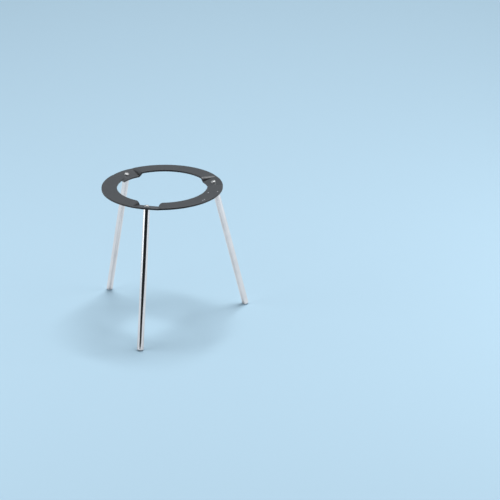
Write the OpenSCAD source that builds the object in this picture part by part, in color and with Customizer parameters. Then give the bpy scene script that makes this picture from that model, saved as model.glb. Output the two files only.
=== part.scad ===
// Laboratory tripod stand: a flat steel ring on three splayed round legs.
// The ring is one pressed sheet. At each leg a pad is pressed down into it, square to
// the leg, and one cross-recessed pan-head screw pulls the leg's top against that pad.
// +Z is up, the feet stand on Z = 0, and the Z axis runs through the ring's centre.

/* [Stand] */
// Height from the bench to the ring's top face
stand_h = 175; // [120:1:260]

/* [Ring] */
// Outer diameter of the ring
ring_od = 150; // [135:1:240]
// Diameter of the hole in the ring
ring_id = 112; // [60:1:126]
// Thickness of the ring's sheet
sheet_t = 2.3; // [1.6:0.1:4]

/* [Leg pads] */
// Flat part of a pad, as an angle about the ring's centre
pad_flat = 19; // [14:1:40]
// Bend between the pad and the ring on each side, as an angle about the ring's centre
pad_bend = 7.5; // [3:0.5:12]

/* [Legs] */
// Diameter of a leg
leg_d = 8; // [6:0.5:9]
// Angle between a leg and the vertical, and so between a pad and the ring's face
leg_splay = 13.5; // [5:0.5:20]
// Radius of the rounding round a leg's foot
foot_round = 1; // [0.2:0.1:1.5]
// Bevel round a leg's top
leg_bevel = 0.5; // [0.2:0.1:1]

/* [Screws] */
// Thread diameter of a screw
screw_d = 4; // [3:0.5:5]
// Length of a screw under its head
screw_l = 12; // [8:1:25]
// Diameter of a screw's head
head_d = 6.2; // [5.5:0.1:8]
// Height of a screw's head
head_h = 2.1; // [1.8:0.1:2.8]
// Height of the straight rim of a screw's head, below its rounded shoulder
head_rim = 0.6; // [0.3:0.1:1]
// Width of the cross recess, from the tip of one wing to the tip of the other
recess_w = 3.8; // [3:0.1:4.4]
// Thickness of a wing of the cross recess
recess_t = 0.9; // [0.6:0.1:1.2]
// Depth of the cross recess
recess_h = 1.5; // [1:0.1:1.7]

/* [Fits] */
// Gap all round between a screw and its hole in the ring
hole_gap = 0.25; // [0.1:0.05:0.5]
// Gap all round between a screw's thread and the tapped hole in the leg
thread_gap = 0.05; // [0.02:0.01:0.1]
// Depth of the tapped hole beyond the screw's end
tap_spare = 2; // [0.5:0.5:6]

/* [Hidden] */
$fn = 96;
LEGS = 3;

// Leg 1 stands at the front, towards -Y, and the others follow anticlockwise.
first_leg = -90;
leg_step = 360 / LEGS;

// A pad's plane meets the ring's face at the outer rim and falls towards the hole.
pad_half = pad_flat / 2 + pad_bend;
pad_t = sheet_t * cos(leg_splay);

// The leg's axis crosses the pad's top face half-way across the ring.
seat_r = (ring_od + ring_id) / 4;
seat_z = stand_h - (ring_od / 2 - seat_r) * tan(leg_splay);
// Distance from that point to the outer rim, along the pad's top face.
seat_to_rim = (ring_od / 2 - seat_r) / cos(leg_splay);

// Height of the middle of a foot's end when the foot's lowest edge touches the bench.
foot_z = (leg_d / 2 - foot_round) * sin(leg_splay) + foot_round * (1 - cos(leg_splay));
leg_l = (seat_z - pad_t * cos(leg_splay) - foot_z) / cos(leg_splay);

tap_r = screw_d / 2 + thread_gap;
tap_h = screw_l - pad_t + tap_spare;
// A drill's point leaves a cone with this half angle at the end of its hole.
drill_half = 59;
// A cross recess narrows by this angle on each side.
recess_taper = 26.5;
// A cut starts and ends this far outside what it cuts.
over = 1;

// Steps along the sheet: over each bend, over a pad's flat part, and between two pads.
bend_steps = 12;
pad_steps = 2;
ring_steps = 10;

// Share of the full drop at an angle from the middle of a pad: all of it over the flat
// part, none at the pad's end, and an S-shaped bend between the two.
function drop_share(angle) =
    let (past_flat = max(0, abs(angle) - pad_flat / 2) / pad_bend)
    (1 + cos(180 * min(1, past_flat))) / 2;

// How far the sheet is pressed down at a radius and an angle from the middle of a pad.
function drop(r, angle) =
    drop_share(angle) * (ring_od / 2 - r * cos(angle)) * tan(leg_splay);

// Angles of the sections round the sheet, from the start of pad 1 once round. Between
// two pads the sheet is flat.
function section_angles() = [
    for (i = [0 : LEGS - 1])
        let (middle = first_leg + leg_step * i)
        each [
            for (k = [0 : bend_steps - 1]) middle - pad_half + pad_bend * k / bend_steps,
            for (k = [0 : pad_steps - 1]) middle + pad_flat * (k / pad_steps - 1 / 2),
            for (k = [0 : bend_steps - 1]) middle + pad_flat / 2 + pad_bend * k / bend_steps,
            for (k = [0 : ring_steps - 1])
                middle + pad_half + (leg_step - 2 * pad_half) * k / ring_steps
        ]
];

// Angle from the middle of the nearest pad.
function from_pad(angle) =
    let (turned = (angle - first_leg) - leg_step * floor((angle - first_leg) / leg_step))
    min(turned, leg_step - turned);

// Puts a shape on a leg's axis, with Z = 0 on the pad's top face and +Z out of the pad.
module on_leg_axis(i) {
    rotate([0, 0, first_leg + leg_step * i])
        translate([seat_r, 0, seat_z])
            rotate([0, -leg_splay, 0])
                children();
}

// The sheet with its pads pressed in, a little wider than the ring on both sides. Each
// section is two straight lines across the ring, one sheet thickness apart.
module pressed_sheet() {
    inner = ring_id / 2 - over;
    outer = ring_od / 2 + over;
    angles = section_angles();
    sections = len(angles);
    points = [
        for (angle = angles)
            for (corner = [[inner, 0], [outer, 0], [outer, sheet_t], [inner, sheet_t]])
                [
                    corner[0] * cos(angle),
                    corner[0] * sin(angle),
                    stand_h - drop(corner[0], from_pad(angle)) - corner[1]
                ]
    ];
    faces = [
        for (i = [0 : sections - 1])
            for (j = [0 : 3])
                let (
                    a = 4 * i + j,
                    b = 4 * i + (j + 1) % 4,
                    c = 4 * ((i + 1) % sections) + (j + 1) % 4,
                    d = 4 * ((i + 1) % sections) + j
                )
                each [[a, c, b], [a, d, c]]
    ];
    polyhedron(points = points, faces = faces);
}

// The blank: a round ring tall enough to hold the pressed sheet.
module blank() {
    blank_h = sheet_t + drop(ring_id / 2, 0) + 2 * over;
    rotate_extrude()
        translate([ring_id / 2, stand_h + over - blank_h])
            square([(ring_od - ring_id) / 2, blank_h]);
}

// What a pad loses to the hole in the ring. The hole was cut while the sheet was flat, so
// its wall turned with the pad and stands square to the pad's face.
module turned_hole() {
    depth = sheet_t + 2 * over;
    reach = (ring_od - ring_id) / 2;
    side = ring_id / 2 * sin(pad_half);
    intersection() {
        translate([seat_to_rim - ring_od / 2, 0, over - depth])
            cylinder(h = depth, d = ring_id);
        translate([seat_to_rim - ring_od / 2 + ring_id / 2 - reach, -side, over - depth])
            cube([2 * reach, 2 * side, depth]);
    }
}

module ring() {
    color("#5e6266")
        difference() {
            intersection() {
                blank();
                pressed_sheet();
            }
            for (i = [0 : LEGS - 1])
                on_leg_axis(i) {
                    turned_hole();
                    translate([0, 0, -pad_t - over])
                        cylinder(h = pad_t + 2 * over, r = screw_d / 2 + hole_gap);
                }
        }
}

// Half of a leg's section, with Y = 0 at the foot.
module leg_profile() {
    r = leg_d / 2;
    difference() {
        union() {
            translate([0, foot_round]) square([r, leg_l - foot_round]);
            square([r - foot_round, foot_round]);
            translate([r - foot_round, foot_round]) circle(foot_round);
        }
        polygon([
            [r - leg_bevel, leg_l],
            [r, leg_l - leg_bevel],
            [r + over, leg_l - leg_bevel],
            [r + over, leg_l + over],
            [r - leg_bevel, leg_l + over]
        ]);
        polygon([
            [0, leg_l - tap_h - tap_r / tan(drill_half)],
            [tap_r, leg_l - tap_h],
            [tap_r, leg_l + over],
            [0, leg_l + over]
        ]);
    }
}

module leg(i) {
    color("#d8dde0")
        on_leg_axis(i)
            translate([0, 0, -pad_t - leg_l])
                rotate_extrude() leg_profile();
}

// Half of the head's section: a straight rim, a rounded shoulder and a flat top.
module head_profile() {
    shoulder = head_h - head_rim;
    square([head_d / 2, head_rim]);
    square([head_d / 2 - shoulder, head_h]);
    intersection() {
        translate([head_d / 2 - shoulder, head_rim]) circle(shoulder);
        square([head_d / 2, head_h]);
    }
}

// The cross recess: two crossed wings that narrow towards the bottom.
module cross_recess() {
    narrowing = tan(recess_taper);
    translate([0, 0, head_h - recess_h])
        intersection() {
            cylinder(
                h = recess_h + over,
                r1 = recess_w / 2 - recess_h * narrowing,
                r2 = recess_w / 2 + over * narrowing
            );
            for (turn = [0, 90])
                rotate([0, 0, turn])
                    translate([-recess_w, -recess_t / 2, 0])
                        cube([2 * recess_w, recess_t, recess_h + over]);
        }
}

module screw(i) {
    color("#c9ced2")
        on_leg_axis(i) {
            difference() {
                rotate_extrude() head_profile();
                cross_recess();
            }
            translate([0, 0, -screw_l]) cylinder(h = screw_l, d = screw_d);
        }
}

ring();
for (i = [0 : LEGS - 1])
    leg(i);
for (i = [0 : LEGS - 1])
    screw(i);
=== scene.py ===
# %% [markdown]
# # A laboratory tripod stand
# A flat ring of painted sheet steel stands on three chromed legs, and one cross-recessed
# screw holds each leg. This lesson loads the measured model as a fixed frame, then models
# the ring, a leg and a screw again with the tools a person would use by hand, at the same
# sizes, so that rounded edges, bends and threads are really there.

# %% Load the measured model
import math

import bmesh
import bpy
from mathutils import Matrix, Vector


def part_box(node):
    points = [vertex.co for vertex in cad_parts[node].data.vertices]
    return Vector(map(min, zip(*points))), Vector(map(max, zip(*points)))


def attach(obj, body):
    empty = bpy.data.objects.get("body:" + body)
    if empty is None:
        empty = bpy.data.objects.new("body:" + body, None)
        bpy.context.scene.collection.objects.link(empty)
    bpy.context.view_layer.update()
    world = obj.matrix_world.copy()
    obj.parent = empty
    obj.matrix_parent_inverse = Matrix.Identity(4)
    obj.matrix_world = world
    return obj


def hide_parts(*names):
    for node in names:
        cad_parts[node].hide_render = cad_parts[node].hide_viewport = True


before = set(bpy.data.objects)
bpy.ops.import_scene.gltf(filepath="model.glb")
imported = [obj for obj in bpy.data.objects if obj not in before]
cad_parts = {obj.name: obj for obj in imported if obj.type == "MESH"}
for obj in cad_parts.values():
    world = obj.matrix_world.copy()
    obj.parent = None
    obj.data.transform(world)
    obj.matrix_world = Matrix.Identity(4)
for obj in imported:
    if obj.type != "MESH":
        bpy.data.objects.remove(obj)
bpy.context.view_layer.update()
print("nodes", sorted(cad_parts))

# %% [markdown]
# ## Sizes
# The height and the ring's radius are read from the measured model, so they can't drift
# from it. The rest repeats the model's own named sizes, in metres. A leg's axis crosses
# the pad's top face half-way across the ring, and everything on that axis is modelled
# upright at the origin first and tipped into place last.

# %% Sizes
MM = 0.001
ring_low, ring_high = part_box("ring")
TOP = ring_high.z
RING_R = (ring_high.x - ring_low.x) / 2
HOLE_R = 56 * MM
SHEET = 2.3 * MM
SPLAY = math.radians(13.5)
LEG_AZIMUTHS = [-90.0, 30.0, 150.0]
LEG_R = 4 * MM
SEAT_R = (RING_R + HOLE_R) / 2
SEAT_Z = TOP - (RING_R - SEAT_R) * math.tan(SPLAY)
print("top %.4f ring radius %.4f seat height %.5f" % (TOP, RING_R, SEAT_Z))

# %% [markdown]
# ## The camera
# A long lens from two metres away keeps the ring's ellipse calm. The camera is first
# turned to look at the ring's centre, a little to one side of the front leg and from
# above, and then panned, tilted and rolled by a few degrees, which sets the stand left
# of the middle of the frame.

# %% The camera
VIEW_TURN = math.radians(17.1)
VIEW_RISE = 0.36921
VIEW_DISTANCE = 2.0
PAN, TILT, ROLL = 0.05344, 0.04089, 0.02104
LENS = 116.16


def turned(angle, axis):
    return Matrix.Rotation(angle, 4, axis)


looks_down = turned(math.pi / 2 - VIEW_RISE, "X")
aim = turned(-PAN, "Y") @ turned(-TILT, "X") @ turned(-ROLL, "Z")
stands_at = Vector((0, -math.cos(VIEW_RISE), math.sin(VIEW_RISE))) * VIEW_DISTANCE
camera_place = turned(VIEW_TURN, "Z") @ stands_at + Vector((0, 0, TOP))
bpy.ops.object.camera_add()
camera = bpy.context.object
camera.name = "camera"
camera.matrix_world = (
    Matrix.Translation(camera_place) @ turned(VIEW_TURN, "Z") @ looks_down @ aim
)
camera.data.lens = LENS
camera.data.sensor_width = 36
camera.data.clip_end = 60
bpy.context.scene.camera = camera
print("camera at", [round(x, 3) for x in camera_place])

# %% [markdown]
# ## Helpers for edit mode
# In edit mode an operator acts on everything that is selected, so each step starts from
# nothing selected and picks its points, edges or faces by where they are. The same few
# moves come back for every piece, so each is a short function here.


# %% Helpers for edit mode
def select_only(piece):
    """Selects one object, and no other, and makes it the active one."""
    bpy.ops.object.select_all(action="DESELECT")
    piece.select_set(True)
    bpy.context.view_layer.objects.active = piece


def edit(piece):
    """Opens one object in edit mode with nothing selected."""
    select_only(piece)
    bpy.ops.object.mode_set(mode="EDIT")
    bpy.ops.mesh.select_all(action="DESELECT")


def pick(piece, wanted, kind="VERT"):
    """Selects the vertices, edges or faces whose points all meet a test."""
    bpy.ops.mesh.select_mode(type=kind)
    bpy.ops.mesh.select_all(action="DESELECT")
    mesh = bmesh.from_edit_mesh(piece.data)
    for item in {"VERT": mesh.verts, "EDGE": mesh.edges, "FACE": mesh.faces}[kind]:
        points = [item.co] if kind == "VERT" else [v.co for v in item.verts]
        if all(wanted(p) for p in points):
            item.select_set(True)
    mesh.select_flush(True)
    bmesh.update_edit_mesh(piece.data)


def done():
    """Leaves edit mode."""
    bpy.ops.object.mode_set(mode="OBJECT")


# %% Helpers for whole objects
SMOOTH_UP_TO = math.radians(32)


def cut_away(piece, cutter, operation="DIFFERENCE"):
    """Applies an exact boolean with another object, which is then removed."""
    bpy.context.view_layer.objects.active = piece
    modifier = piece.modifiers.new("cut", "BOOLEAN")
    modifier.operation = operation
    modifier.solver = "EXACT"
    modifier.object = cutter
    bpy.ops.object.modifier_apply(modifier=modifier.name)
    bpy.data.objects.remove(cutter)


def place_in_mesh(piece):
    """Moves the object's place, turn and size into its mesh."""
    select_only(piece)
    bpy.ops.object.transform_apply(location=True, rotation=True, scale=True)


def smooth(piece):
    """Shades a piece smooth, apart from its sharp edges."""
    select_only(piece)
    bpy.ops.object.shade_smooth_by_angle(angle=SMOOTH_UP_TO)


def measure(piece):
    """How many edges are open, and the volume in cubic mm, negative if inside out."""
    mesh = bmesh.new()
    mesh.from_mesh(piece.data)
    open_edges = sum(not e.is_manifold for e in mesh.edges)
    volume = mesh.calc_volume(signed=True) / MM**3
    mesh.free()
    return open_edges, volume


def face_outwards(piece):
    """Points every face out of a closed piece."""
    edit(piece)
    bpy.ops.mesh.select_all(action="SELECT")
    bpy.ops.mesh.normals_make_consistent(inside=False)
    done()
    if measure(piece)[1] < 0:
        edit(piece)
        bpy.ops.mesh.select_all(action="SELECT")
        bpy.ops.mesh.flip_normals()
        done()


def report(piece):
    """Prints a piece's faces, its open edges and its volume."""
    faces = len(piece.data.polygons)
    print(piece.name, faces, "faces, %d open edges, %.1f cubic mm" % measure(piece))


# %% [markdown]
# ## Floor and light
# The stage is a plain pale floor in a plain pale room. One large softbox, high and a
# little behind the stand, does most of the lighting, and the bends of the pads catch it.
# Chrome shows only what stands round it, so it needs things to reflect. A softbox on each
# side and a white card under the stand draw the white bands down a leg. A black card on
# the floor in front of the stand, and a black wall behind the camera, draw the dark band
# between them. The cards are seen by reflections alone, so the floor keeps its own light.
# One even sky would be simpler, but chrome with nothing to reflect looks like grey paint.

# %% The floor
bpy.ops.mesh.primitive_plane_add(size=16, location=(0, 0, 0))
floor = bpy.context.object
floor.name = "floor"
floor_paint = bpy.data.materials.new("floor_paint")
floor_paint.use_nodes = True
floor_shader = floor_paint.node_tree.nodes["Principled BSDF"]
floor_shader.inputs["Base Color"].default_value = (0.43, 0.60, 0.72, 1)
floor_shader.inputs["Roughness"].default_value = 0.9
floor_shader.inputs["Specular IOR Level"].default_value = 0.2
floor.data.materials.append(floor_paint)
print("floor", tuple(round(x) for x in floor.dimensions), "m")

# %% The room
world = bpy.data.worlds.new("room")
bpy.context.scene.world = world
world.use_nodes = True
world.node_tree.nodes["Background"].inputs["Color"].default_value = (0.86, 0.93, 1.0, 1)
world.node_tree.nodes["Background"].inputs["Strength"].default_value = 0.30
bpy.context.scene.view_settings.view_transform = "Standard"
print("room", world.name, "view", bpy.context.scene.view_settings.view_transform)


# %% The softboxes
def softbox(name, place, aim_at, width, height, watts):
    """A rectangular soft light at a place, turned to face a point."""
    bpy.ops.object.light_add(type="AREA", location=place)
    light = bpy.context.object
    light.name = name
    light.data.shape = "RECTANGLE"
    light.data.size = width
    light.data.size_y = height
    light.data.energy = watts
    towards = Vector(aim_at) - Vector(place)
    light.rotation_euler = towards.to_track_quat("-Z", "Y").to_euler()
    light.visible_camera = False
    print(name, "%.1f W, %.2f m away" % (watts, towards.length))


MIDDLE = (0, 0, 0.09)
softbox("softbox_high", (0.3, 1.0, 4.35), (0, 0, 0), 1.8, 1.8, 150)
softbox("softbox_left", (-0.98, -0.52, 0.5), MIDDLE, 0.95, 1.0, 5.0)
softbox("softbox_right", (1.08, 0.2, 0.5), MIDDLE, 0.85, 1.0, 4.6)


# %% A helper for the cards
def card_part(name, line, centre, first, last):
    """A line of points drawn outwards from a centre and spun between two azimuths."""
    bpy.ops.mesh.primitive_plane_add(size=1)
    part = bpy.context.object
    part.name = name
    edit(part)
    pick(part, lambda p: p.x > 0 or p.y > 0)
    bpy.ops.mesh.delete(type="VERT")
    bpy.ops.mesh.select_all(action="SELECT")
    bpy.ops.transform.translate(value=(0.5 + line[0][0], 0.5, line[0][1]))
    for here, there in zip(line, line[1:]):
        reach = (there[0] - here[0], 0, there[1] - here[1])
        bpy.ops.mesh.extrude_region_move(TRANSFORM_OT_translate={"value": reach})
    bpy.ops.mesh.select_all(action="SELECT")
    turn = math.radians(first - last)
    bpy.ops.mesh.spin(steps=36, angle=turn, center=(0, 0, 0), axis=(0, 0, 1))
    done()
    part.rotation_euler = (0, 0, math.radians(first))
    part.location = centre
    place_in_mesh(part)
    for rays in ("camera", "diffuse", "transmission", "volume_scatter", "shadow"):
        setattr(part, "visible_" + rays, False)
    return part


# %% The cards' two paints
card_black = bpy.data.materials.new("card_black")
card_black.use_nodes = True
card_shader = card_black.node_tree.nodes["Principled BSDF"]
card_shader.inputs["Base Color"].default_value = (0.012, 0.013, 0.015, 1)
card_shader.inputs["Roughness"].default_value = 1.0
card_white = card_black.copy()
card_white.name = "card_white"
white_shader = card_white.node_tree.nodes["Principled BSDF"]
white_shader.inputs["Base Color"].default_value = (0.60, 0.63, 0.66, 1)
print("paints", card_black.name, card_white.name)

# %% The cards
FOOT_SPOT = Vector((0, -0.107, 0))
white_line = [(0.0, 0.001), (3.2, 0.001)]
floor_line = [(0.14, 0.002), (0.9, 0.002)]
room_line = [(0.85, 0.002), (2.4, 0.002), (2.4, 1.4)]
cards = [
    (card_part("white_card", white_line, (0, 0, 0), -180, 180), card_white),
    (card_part("black_card_floor", floor_line, FOOT_SPOT, -112, -50), card_black),
    (card_part("black_card_room", room_line, (0, 0, 0), -116, -24), card_black),
]
for card, paint in cards:
    card.data.materials.append(paint)
    print(card.name, "reaches", [round(x, 2) for x in card.dimensions], "m")


# %% [markdown]
# ## The ring
# The real ring is a punched blank of sheet steel with three pads pressed down into it.
# It could be a disc with a hole, thickened and cut, but the bends would then be left to
# luck. Instead the section of the sheet is drawn once, with its rounded corners, and
# spun through one third of a turn in quarter-degree steps. The pad is then pressed into
# that third as a press does it, column by column, and the third is repeated.

# %% The section of the sheet
EDGE_ROUND = 0.3 * MM
SECTION_CUTS = 9
THIRD = 120.0
STEP = 0.25
NEAR = 1e-5
pad_middle = LEG_AZIMUTHS[0]
start = math.radians(pad_middle - THIRD / 2)

bpy.ops.mesh.primitive_plane_add(size=1)
ring = bpy.context.object
ring.name = "ring_sheet"
edit(ring)
bpy.ops.mesh.select_all(action="SELECT")
bpy.ops.transform.resize(value=(RING_R - HOLE_R, SHEET, 1))
bpy.ops.mesh.bevel(offset=EDGE_ROUND, segments=3, affect="VERTICES")
bpy.ops.mesh.select_all(action="SELECT")
bpy.ops.mesh.delete(type="ONLY_FACE")
for side in (-1, 1):
    pick(ring, lambda p: abs(p.y - side * SHEET / 2) < NEAR, "EDGE")
    bpy.ops.mesh.subdivide(number_cuts=SECTION_CUTS)
done()
ring.rotation_euler = (math.pi / 2, 0, start)
ring.location = (SEAT_R * math.cos(start), SEAT_R * math.sin(start), TOP - SHEET / 2)
place_in_mesh(ring)
print("points in the section", len(ring.data.vertices))

# %% One third of the ring
edit(ring)
bpy.ops.mesh.select_all(action="SELECT")
bpy.ops.mesh.spin(
    steps=round(THIRD / STEP), angle=-math.radians(THIRD),
    center=(0, 0, 0), axis=(0, 0, 1),
)
done()
turns = [math.degrees(math.atan2(v.co.y, v.co.x)) for v in ring.data.vertices]
print("faces in a third", len(ring.data.polygons), "from", min(turns), "to", max(turns))

# %% [markdown]
# ### Pressing the pad
# The pad hinges about a line that touches the outer rim, and its flat part ends up square
# to the leg. On each side the sheet eases from flat to pressed over a few degrees, so
# each column of the bend is turned by its own share of the full angle. A punch leaves a
# crisp crease at the pad on the upper face and a round shoulder above it, and the
# underside goes round both corners gently, so the two faces of the sheet are turned along
# two different curves. Both start on a whole column. The rotate operator is given the
# hinge as its centre. Run without a window, it and spin both turn the other way, which
# the signs of their angles allow for.

# %% Press the pad
hinge = (
    RING_R * math.cos(math.radians(pad_middle)),
    RING_R * math.sin(math.radians(pad_middle)),
    TOP,
)


def from_middle(p):
    """Angle in degrees between a point and the middle of the pad."""
    turn = math.degrees(math.atan2(p.y, p.x)) - pad_middle
    return abs((turn + 180) % 360 - 180)


def presses(p):
    """Everything but the foot of the outer wall, which stays on the ring's circle."""
    return math.hypot(p.x, p.y) < RING_R - 2 * EDGE_ROUND or p.z > TOP - 1.2 * EDGE_ROUND


def on_face(p, face):
    """Whether a point still to be pressed is on the sheet's top or on its bottom."""
    return (p.z > TOP - SHEET / 2) == (face == "top")


def press(share, nearest, furthest, face):
    """Turns one face of the sheet, between two angles, by a share of the full tilt."""
    pick(ring, lambda p: nearest <= from_middle(p) <= furthest
         and presses(p) and on_face(p, face))
    bpy.ops.transform.rotate(
        value=math.atan(share * math.tan(SPLAY)),
        orient_axis="X", orient_type="GLOBAL", center_override=hinge,
    )


def top_share(u):
    """A round shoulder that falls steeply to a crisp crease at the pad."""
    return 1 - (1 - (1 - u) ** ROUNDNESS) ** (1 / ROUNDNESS)


def under_share(u):
    """The sheet's underside, which goes round both corners gently."""
    return (1 + math.cos(math.pi * u)) / 2


CREASE = 12.25
ROUNDNESS = 1.65
# Where each face's bend starts and ends, in degrees from the pad's middle, and its curve.
BENDS = {"bottom": (12.5, 17.5, under_share), "top": (CREASE, 17.0, top_share)}
edit(ring)
for face, (foot, shoulder, bend_share) in BENDS.items():
    press(1, 0, foot + STEP / 4, face)
    column = foot + STEP
    while column < shoulder:
        bent = bend_share((column - foot) / (shoulder - foot))
        press(bent, column - STEP / 4, column + STEP / 4, face)
        column += STEP
done()
heights = [v.co.z for v in ring.data.vertices]
print("pressed to %.5f, top %.5f" % (min(heights), max(heights)))


# %% [markdown]
# ### The other two thirds, and the screw holes
# Spin can also repeat a selection instead of drawing it out, which gives the other two
# thirds, and merging the doubled points closes the ring. Each hole is then drilled square
# to its pad with an exact boolean, as a drill goes in after the press.


# %% The other two thirds
SAME_POINT = 2e-6


def merge_doubles(piece):
    """Merges points of a piece that lie in the same place."""
    edit(piece)
    bpy.ops.mesh.select_all(action="SELECT")
    bpy.ops.mesh.remove_doubles(threshold=SAME_POINT)
    done()


edit(ring)
bpy.ops.mesh.select_all(action="SELECT")
bpy.ops.mesh.spin(
    steps=2, dupli=True, angle=math.radians(2 * THIRD), center=(0, 0, 0), axis=(0, 0, 1)
)
done()
merge_doubles(ring)
face_outwards(ring)
report(ring)


# %% The screw holes
def on_leg_axis(piece, azimuth):
    """Tips a piece that was modelled upright at the origin onto a leg's axis."""
    tip = turned(math.radians(azimuth), "Z") @ Matrix.Translation((SEAT_R, 0, SEAT_Z))
    piece.matrix_world = tip @ turned(-SPLAY, "Y")
    place_in_mesh(piece)


SCREW_R = 2 * MM
HOLE_GAP = 0.25 * MM
bpy.ops.mesh.primitive_cylinder_add(
    vertices=48, radius=SCREW_R + HOLE_GAP, depth=4 * SHEET, location=(0, 0, 0)
)
drill = bpy.context.object
drill.name = "drill"
on_leg_axis(drill, pad_middle)
for azimuth in LEG_AZIMUTHS[1:]:
    other = drill.copy()
    other.data = drill.data.copy()
    bpy.context.scene.collection.objects.link(other)
    other.matrix_world = turned(math.radians(azimuth - pad_middle), "Z")
    cut_away(ring, other)
cut_away(ring, drill)
smooth(ring)
report(ring)

# %% [markdown]
# ## A leg
# A leg is a straight bar of bright steel, turned round at the foot, chamfered at the top
# and tapped for its screw. Its outline could be drawn and spun, but a cylinder gives the
# bar at once. Bevelling its two end loops gives the foot and the chamfer, and insetting
# and extruding its top face gives the tapped hole, with the cone that a drill's point
# leaves. A loop sliced just inside each bevel keeps the long side's shading straight, so
# that reflections don't drift along the bar.

# %% Leg sizes
FOOT_ROUND = 1 * MM
LEG_BEVEL = 0.5 * MM
TAP_R = 2.05 * MM
SCREW_L = 12 * MM
TAP_SPARE = 2 * MM
TAP_H = SCREW_L - SHEET + TAP_SPARE
foot_rise = (LEG_R - FOOT_ROUND) * math.sin(SPLAY) + FOOT_ROUND * (1 - math.cos(SPLAY))
LEG_L = (SEAT_Z - foot_rise) / math.cos(SPLAY) - SHEET
print("leg length %.2f mm" % (LEG_L * 1000))

# %% The bar, its foot and its tapped hole
DRILL_POINT = math.radians(59)
SUPPORT = 0.15 * MM
bpy.ops.mesh.primitive_cylinder_add(
    vertices=96, radius=LEG_R, depth=LEG_L, location=(0, 0, -SHEET - LEG_L / 2)
)
leg = bpy.context.object
leg.name = "leg_bar_1"
place_in_mesh(leg)
leg_top = -SHEET
leg_foot = -SHEET - LEG_L
edit(leg)
pick(leg, lambda p: p.z < leg_foot + NEAR, "EDGE")
bpy.ops.mesh.bevel(offset=FOOT_ROUND, segments=7, affect="EDGES")
pick(leg, lambda p: p.z > leg_top - NEAR, "EDGE")
bpy.ops.mesh.bevel(offset=LEG_BEVEL, segments=2, affect="EDGES")
pick(leg, lambda p: p.z > leg_top - NEAR, "FACE")
bpy.ops.mesh.inset(thickness=LEG_R - LEG_BEVEL - TAP_R)
bpy.ops.mesh.extrude_region_move(TRANSFORM_OT_translate={"value": (0, 0, -TAP_H)})
bpy.ops.mesh.extrude_region_move(
    TRANSFORM_OT_translate={"value": (0, 0, -TAP_R / math.tan(DRILL_POINT))}
)
bpy.ops.mesh.merge(type="CENTER")
for height in (leg_foot + FOOT_ROUND + SUPPORT, leg_top - LEG_BEVEL - SUPPORT):
    bpy.ops.mesh.select_all(action="SELECT")
    bpy.ops.mesh.bisect(plane_co=(0, 0, height), plane_no=(0, 0, 1))
done()
report(leg)


# %% [markdown]
# ## A screw
# Each screw is a small pan head over a machine thread. The head is a cylinder whose top
# loop is bevelled into a rounded shoulder, and the driver's cross is a tapered cutter
# taken out of it. Plain rings could stand in for the thread, but they don't climb as a
# thread does, so it is one tooth drawn as a line and wound into a helix by the Screw
# modifier. The helix is sliced a little too long, and a cylinder with a bevelled end then
# cuts it to length and points it. The cylinder stands clear of the thread elsewhere,
# because two surfaces that lie in one place can leave a boolean's result open.

# %% The screw's head
HEAD_R = 3.1 * MM
HEAD_H = 2.1 * MM
HEAD_RIM = 0.6 * MM
HEAD_EDGE = 0.12 * MM
bpy.ops.mesh.primitive_cylinder_add(
    vertices=64, radius=HEAD_R, depth=HEAD_H, location=(0, 0, HEAD_H / 2)
)
screw = bpy.context.object
screw.name = "pan_screw_1"
place_in_mesh(screw)
edit(screw)
pick(screw, lambda p: p.z > HEAD_H - NEAR, "EDGE")
bpy.ops.mesh.bevel(offset=HEAD_H - HEAD_RIM, segments=10, affect="EDGES")
pick(screw, lambda p: p.z < NEAR, "EDGE")
bpy.ops.mesh.bevel(offset=HEAD_EDGE, segments=2, affect="EDGES")
done()
report(screw)

# %% The driver's cross
CROSS_W = 3.8 * MM
CROSS_T = 0.9 * MM
CROSS_H = 1.5 * MM
CROSS_TAPER = math.tan(math.radians(26.5))
CROSS_ABOVE = 0.5 * MM
cross_top = HEAD_H + CROSS_ABOVE
cross_bottom = HEAD_H - CROSS_H
bpy.ops.mesh.primitive_cube_add(size=1)
cross = bpy.context.object
cross.scale = (CROSS_T, CROSS_T, cross_top - cross_bottom)
cross.location = (0, 0, (cross_top + cross_bottom) / 2)
place_in_mesh(cross)
edit(cross)
wing_reach = CROSS_W / 2 + CROSS_ABOVE * CROSS_TAPER
for side in ((1, 0), (-1, 0), (0, 1), (0, -1)):
    outward = Vector((*side, 0))
    across = Vector((side[1], side[0], 0))
    pick(cross, lambda p: p.dot(outward) > CROSS_T / 2 - NEAR
         and abs(p.dot(across)) < CROSS_T / 2 + NEAR, "FACE")
    reach = outward * (wing_reach - CROSS_T / 2)
    bpy.ops.mesh.extrude_region_move(TRANSFORM_OT_translate={"value": reach})
    pick(cross, lambda p: p.dot(outward) > wing_reach - NEAR
         and p.z < cross_bottom + NEAR)
    taper = -outward * (cross_top - cross_bottom) * CROSS_TAPER
    bpy.ops.transform.translate(value=taper)
done()
cut_away(screw, cross)
report(screw)

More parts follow.
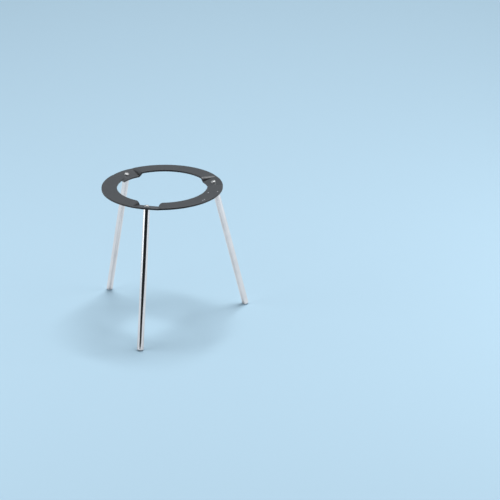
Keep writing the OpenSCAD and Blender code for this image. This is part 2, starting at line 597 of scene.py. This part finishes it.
# %% One tooth of the thread
PITCH = 0.7 * MM
TOOTH = 0.42 * MM
bpy.ops.mesh.primitive_plane_add(size=PITCH)
thread = bpy.context.object
thread.name = "thread"
edit(thread)
pick(thread, lambda p: p.x > 0)
bpy.ops.mesh.delete(type="VERT")
pick(thread, lambda p: True, "EDGE")
bpy.ops.mesh.subdivide(number_cuts=3)
pick(thread, lambda p: True)
bpy.ops.transform.translate(value=(PITCH / 2 + SCREW_R - TOOTH, 0, 0))
pick(thread, lambda p: abs(p.y) < PITCH * 0.1)
bpy.ops.transform.translate(value=(TOOTH, 0, 0))
pick(thread, lambda p: abs(abs(p.y) - PITCH / 4) < PITCH * 0.1)
bpy.ops.transform.translate(value=(TOOTH / 2, 0, 0))
pick(thread, lambda p: True)
bpy.ops.transform.rotate(
    value=-math.pi / 2, orient_axis="X", orient_type="GLOBAL", center_override=(0, 0, 0)
)
done()
print("tooth", [tuple(round(c * 1000, 2) for c in v.co) for v in thread.data.vertices])

# %% Wind the tooth into a thread
TURNS = math.ceil(SCREW_L / PITCH) + 2
ROOT_IN_HEAD = 0.3 * MM
CLEAR = 0.2 * MM
wind = thread.modifiers.new("wind", "SCREW")
wind.axis = "Z"
wind.angle = math.tau
wind.screw_offset = PITCH
wind.iterations = TURNS
wind.steps = wind.render_steps = 32
wind.use_merge_vertices = False
bpy.context.view_layer.objects.active = thread
bpy.ops.object.modifier_apply(modifier=wind.name)
merge_doubles(thread)
edit(thread)
bpy.ops.mesh.select_all(action="SELECT")
low_z = min(v.co.z for v in bmesh.from_edit_mesh(thread.data).verts)
bpy.ops.transform.translate(value=(0, 0, -SCREW_L - low_z - PITCH * 1.5))
for height, up in ((-SCREW_L - CLEAR, -1), (ROOT_IN_HEAD, 1)):
    bpy.ops.mesh.select_all(action="SELECT")
    bpy.ops.mesh.bisect(
        plane_co=(0, 0, height), plane_no=(0, 0, up), use_fill=True, clear_outer=True
    )
done()
face_outwards(thread)
report(thread)

# %% Point the thread and join it to the head
POINT_BEVEL = 0.45 * MM
point_top = ROOT_IN_HEAD + CLEAR
bpy.ops.mesh.primitive_cylinder_add(
    vertices=64, radius=SCREW_R + CLEAR, depth=SCREW_L + point_top,
    location=(0, 0, (point_top - SCREW_L) / 2),
)
point = bpy.context.object
place_in_mesh(point)
edit(point)
pick(point, lambda p: p.z < -SCREW_L + NEAR, "EDGE")
bpy.ops.mesh.bevel(offset=POINT_BEVEL + CLEAR, segments=1, affect="EDGES")
done()
cut_away(thread, point, "INTERSECT")
report(thread)
cut_away(screw, thread, "UNION")
report(screw)

# %% [markdown]
# ## Setting the pieces on their axes
# The leg and the screw are still upright at the origin. Each is copied twice, every copy
# with its own mesh, and then each copy is tipped onto its own leg's axis.


# %% Place the legs and screws
def one_each(first, stem, turns=(0, 0, 0)):
    """Copies a piece so that each leg has one, turned on its own axis, and tips each."""
    made = [first]
    for number in (2, 3):
        copy = first.copy()
        copy.data = first.data.copy()
        copy.name = copy.data.name = "%s_%d" % (stem, number)
        bpy.context.scene.collection.objects.link(copy)
        made.append(copy)
    for piece, azimuth, turn in zip(made, LEG_AZIMUTHS, turns):
        piece.rotation_euler.z = math.radians(turn)
        place_in_mesh(piece)
        on_leg_axis(piece, azimuth)
        smooth(piece)
        low_end = min(v.co.z for v in piece.data.vertices)
        print("%s lowest point %.4f mm" % (piece.name, low_end * 1000))
    return made


legs = one_each(leg, "leg_bar")
screws = one_each(screw, "pan_screw", turns=(12, 50, 28))


# %% [markdown]
# ## Finishes
# Three finishes show: dark baked enamel on the ring, bright chrome on the legs and a
# duller nickel plating on the screws. The two platings share faint rubbing marks from
# wiping and handling, so those marks are one node group with named inputs.


# %% Helpers for nodes
def add(tree, kind, **settings):
    """Adds a shader node and sets its properties or, by name, its inputs."""
    node = tree.nodes.new("ShaderNode" + kind)
    for name, value in settings.items():
        if hasattr(node, name):
            setattr(node, name, value)
        else:
            node.inputs[name.replace("_", " ")].default_value = value
    return node


def fill(tree, sockets, values):
    """Gives each socket its value, which is a plain number or another node's output."""
    for socket, value in zip(sockets, values):
        if isinstance(value, (int, float, tuple)):
            socket.default_value = value
        else:
            tree.links.new(value, socket)


def maths(tree, operation, first, second=0.0):
    """One sum on one or two values."""
    node = add(tree, "Math", operation=operation)
    fill(tree, node.inputs, (first, second))
    return node.outputs[0]


def vector_maths(tree, operation, first, second=(0, 0, 0)):
    """The same for vectors. It gives back the node, which can put out either kind."""
    node = add(tree, "VectorMath", operation=operation)
    fill(tree, node.inputs, (first, second))
    return node


def ranged(tree, value, low, high, at_low, at_high):
    """Maps a value from one range to another, and holds it inside."""
    node = add(tree, "MapRange")
    keys = ("Value", "From Min", "From Max", "To Min", "To Max")
    fill(tree, [node.inputs[k] for k in keys], (value, low, high, at_low, at_high))
    return node.outputs["Result"]


def blended(tree, mask, under, over):
    """A colour that goes from one to another where a mask goes from 0 to 1."""
    node = add(tree, "Mix", data_type="RGBA")
    fill(tree, [node.inputs[k] for k in ("Factor", "A", "B")], (mask, under, over))
    return node.outputs["Result"]


def new_finish(name, **settings):
    """A material with its Principled shader's constants set, and object coordinates."""
    finish = bpy.data.materials.new(name)
    finish.use_nodes = True
    tree = finish.node_tree
    shader = tree.nodes["Principled BSDF"]
    for socket, value in settings.items():
        shader.inputs[socket].default_value = value
    return finish, tree, shader, add(tree, "TexCoord")


def noise(tree, place, scale, detail, roughness):
    """Cloudy noise with so many lumps to the metre."""
    node = add(tree, "TexNoise", Scale=scale, Detail=detail, Roughness=roughness)
    tree.links.new(place, node.inputs["Vector"])
    return node


# %% The rubbing marks group
ACROSS, ALONG = 1600, 55
SMEAR_LOSS, LINE_LOSS = 0.06, 0.05
marks = bpy.data.node_groups.new("rubbing_marks", "ShaderNodeTree")
for name in ("Lines", "Smears"):
    share = marks.interface.new_socket(
        name, in_out="INPUT", socket_type="NodeSocketFloat"
    )
    share.default_value = 1.0
marks.interface.new_socket("Vector", in_out="INPUT", socket_type="NodeSocketVector")
for name in ("Gloss Loss", "Tone", "Height"):
    marks.interface.new_socket(name, in_out="OUTPUT", socket_type="NodeSocketFloat")
given = marks.nodes.new("NodeGroupInput")
gives = marks.nodes.new("NodeGroupOutput")
smears = noise(marks, given.outputs["Vector"], 70.0, 4.0, 0.6)
stretch = add(marks, "Mapping", Scale=(ACROSS, ACROSS, ALONG))
marks.links.new(given.outputs["Vector"], stretch.inputs["Vector"])
lines = noise(marks, stretch.outputs["Vector"], 1.0, 2.0, 0.5)
smear_mask = ranged(marks, smears.outputs["Fac"], 0.42, 0.72, 0, 1)
smear_amount = maths(marks, "MULTIPLY", smear_mask, given.outputs["Smears"])
line_amount = maths(marks, "MULTIPLY", lines.outputs["Fac"], given.outputs["Lines"])
smear_loss = maths(marks, "MULTIPLY", smear_amount, SMEAR_LOSS)
line_loss = maths(marks, "MULTIPLY", line_amount, LINE_LOSS)
loss = maths(marks, "ADD", smear_loss, line_loss)
fill(marks, [gives.inputs[k] for k in ("Gloss Loss", "Tone", "Height")],
     (loss, smear_amount, line_amount))
print(marks.name, "takes", [i.name for i in given.outputs if i.name])


# %% [markdown]
# ### Chrome and the screws' plating
# Chrome is a metal with almost no colour of its own. A touch of roughness keeps its bands
# soft at their edges, and the marks vary it. The screws' plating is greyer and duller. It
# could be drawn as a finish of its own, but it is rubbed in the same way and only its
# numbers differ, so one function makes both.


# %% The two platings
def plating(name, clean, dull, roughness, lines_share, smears_share, bump):
    """A bright metal that goes from clean to dull and loses gloss where it is rubbed."""
    finish, tree, shader, place = new_finish(name, Metallic=1.0)
    group = tree.nodes.new("ShaderNodeGroup")
    group.node_tree = marks
    fill(tree, [group.inputs[k] for k in ("Lines", "Smears", "Vector")],
         (lines_share, smears_share, place.outputs["Object"]))
    colour = blended(tree, group.outputs["Tone"], (*clean, 1), (*dull, 1))
    relief = add(tree, "Bump", Strength=1.0, Distance=bump)
    fill(tree, [relief.inputs["Height"]], [group.outputs["Height"]])
    rough = maths(tree, "ADD", group.outputs["Gloss Loss"], roughness)
    fill(tree, [shader.inputs[k] for k in ("Base Color", "Roughness", "Normal")],
         (colour, rough, relief.outputs["Normal"]))
    print(name, "roughness from %.2f, %d nodes" % (roughness, len(tree.nodes)))
    return finish


chrome = plating(
    "leg_chrome", (0.86, 0.87, 0.88), (0.76, 0.78, 0.80),
    roughness=0.07, lines_share=0.6, smears_share=0.8, bump=1.5e-6,
)
nickel = plating(
    "screw_nickel", (0.60, 0.61, 0.61), (0.48, 0.49, 0.49),
    roughness=0.44, lines_share=1.0, smears_share=1.0, bump=3e-6,
)

# %% [markdown]
# ### The ring's enamel
# The enamel is dark grey and half matt, with the very fine orange peel of a sprayed and
# baked coat. It is a little thinner along the edges, where the steel shows faintly
# lighter. The cut walls and the creases at the pads are painted darker, as painted shade
# that stands in for the shade falling there. A few pale nibs show where something has
# chipped it. It could be one grey with a noise over it, but each of these marks has its
# own place on the ring, so each is a mask worked out from the place or the slope of the
# surface.

# %% The enamel
ENAMEL = (0.056, 0.060, 0.065)
ENAMEL_THIN = (0.085, 0.090, 0.096)
DARKEST, LIGHTEST = 0.86, 1.18
enamel, tree, shader, place = new_finish("ring_enamel", IOR=1.5)
here = place.outputs["Object"]
peel = noise(tree, here, 1500.0, 3.0, 0.55)
grain = noise(tree, here, 420.0, 5.0, 0.65)
cloud = noise(tree, here, 28.0, 2.0, 0.5)
mottle = ranged(tree, grain.outputs["Fac"], 0.3, 0.75, 0, 1)
body_colour = blended(tree, mottle, (*(c * DARKEST for c in ENAMEL), 1),
                      (*(c * LIGHTEST for c in ENAMEL), 1))
print(enamel.name, "colour", ENAMEL)

# %% Thin enamel along the two rims
RIM_REACH = 0.45 * MM
parts = add(tree, "SeparateXYZ")
flat = add(tree, "CombineXYZ")
fill(tree, parts.inputs, [here])
fill(tree, flat.inputs, (parts.outputs["X"], parts.outputs["Y"]))
radius = vector_maths(tree, "LENGTH", flat.outputs[0]).outputs["Value"]


def near_rim(rim):
    """A mask that is 1 at a rim and fades to 0 over a short reach across the sheet."""
    away = maths(tree, "ABSOLUTE", maths(tree, "SUBTRACT", radius, rim))
    return ranged(tree, away, 0, RIM_REACH, 1, 0)


rims = maths(tree, "MAXIMUM", near_rim(RING_R), near_rim(HOLE_R))
worn = maths(tree, "MULTIPLY", rims, mottle)
colour = blended(tree, worn, body_colour, (*ENAMEL_THIN, 1))
print("thin enamel", ENAMEL_THIN)

# %% Painted shade on the walls and in the creases
# Painted shade: the walls and the creases get these darker colours in place of the shade
# that falls on them.
PAINTED_WALL_SHADE = (0.011, 0.012, 0.014)
PAINTED_CREASE_SHADE = (0.012, 0.013, 0.015)
CREASE_AT = CREASE + STEP
CREASE_CORE, CREASE_EDGE = math.radians(0.35), math.radians(1.1)
CREASE_FULL, CREASE_GONE = 64 * MM, 72 * MM
slope = add(tree, "SeparateXYZ")
fill(tree, slope.inputs, [place.outputs["Normal"]])
wall = ranged(tree, maths(tree, "ABSOLUTE", slope.outputs["Z"]), 0.25, 0.75, 1, 0)
upper_face = ranged(tree, slope.outputs["Z"], 0, 0.1, 0, 1)
round_ring = maths(tree, "ARCTAN2", parts.outputs["Y"], parts.outputs["X"])
from_first = maths(tree, "ADD", round_ring, -math.radians(LEG_AZIMUTHS[0]))
from_pad = maths(tree, "PINGPONG", from_first, math.radians(THIRD / 2))
off_crease = maths(tree, "SUBTRACT", from_pad, math.radians(CREASE_AT))
crease = ranged(tree, maths(tree, "ABSOLUTE", off_crease), CREASE_CORE, CREASE_EDGE, 1, 0)
towards_rim = ranged(tree, radius, CREASE_FULL, CREASE_GONE, 1, 0)
crease = maths(tree, "MULTIPLY", crease, towards_rim)
crease = maths(tree, "MULTIPLY", crease, upper_face)
# The crease line and the steep walls are darkened here as painted shade.
colour = blended(tree, crease, colour, (*PAINTED_CREASE_SHADE, 1))
colour = blended(tree, wall, colour, (*PAINTED_WALL_SHADE, 1))
print("crease at %.1f degrees from a pad's middle" % CREASE_AT)

# %% The pale nibs
# Each nib's place on the ring, and its radius, in mm.
NIBS = [(61.17, -8.38, 0.8), (71.28, -2.14, 0.75),
        (62.77, -31.96, 0.8), (61.65, -35.44, 0.7)]
NIB_COLOUR = (0.58, 0.60, 0.64)
NIB_CORE, NIB_EDGE = 0.6, 1.2
WOBBLE = 0.9 * MM
ragged = noise(tree, here, 900.0, 2.0, 0.6)
centred = vector_maths(tree, "SUBTRACT", ragged.outputs["Color"], (0.5, 0.5, 0.5))
wobble = vector_maths(tree, "MULTIPLY", centred.outputs[0], (WOBBLE, WOBBLE, 0))
shaken = vector_maths(tree, "ADD", flat.outputs[0], wobble.outputs[0])
nib_mask = 0.0
for x, y, size in NIBS:
    spot = (x * MM, y * MM, 0)
    gap = vector_maths(tree, "DISTANCE", shaken.outputs[0], spot).outputs["Value"]
    nib = ranged(tree, gap, NIB_CORE * size * MM, NIB_EDGE * size * MM, 1, 0)
    nib_mask = maths(tree, "MAXIMUM", nib_mask, nib)
nib_mask = maths(tree, "MULTIPLY", nib_mask, upper_face)
colour = blended(tree, nib_mask, colour, (*NIB_COLOUR, 1))
print(len(NIBS), "nibs")

# %% The enamel's gloss and relief
GLOSSIEST, DULLEST = 0.34, 0.46
gloss = ranged(tree, cloud.outputs["Fac"], 0.3, 0.7, GLOSSIEST, DULLEST)
relief = add(tree, "Bump", Strength=0.5, Distance=2.5e-5)
fill(tree, [relief.inputs["Height"]], [peel.outputs["Fac"]])
fill(tree, [shader.inputs[k] for k in ("Base Color", "Roughness", "Normal")],
     (colour, gloss, relief.outputs["Normal"]))
print("enamel has", len(tree.nodes), "nodes")

# %% [markdown]
# ## Putting the pieces in place of the model's nodes
# Each piece stands for one node of the measured model, rides on the stand's one body and
# takes its finish.

# %% Finish
pairs = [(ring, "ring", "ring_paint", enamel)]
pairs += [(piece, "leg_%d" % n, "leg_plating", chrome) for n, piece in enumerate(legs, 1)]
pairs += [(piece, "screw_%d" % n, "screw_plating", nickel)
          for n, piece in enumerate(screws, 1)]
for piece, node, slot, finish in pairs:
    piece.data.materials.clear()
    piece.data.materials.append(finish)
    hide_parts(node)
    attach(piece, "root")
    print(piece.name, "stands for", node)
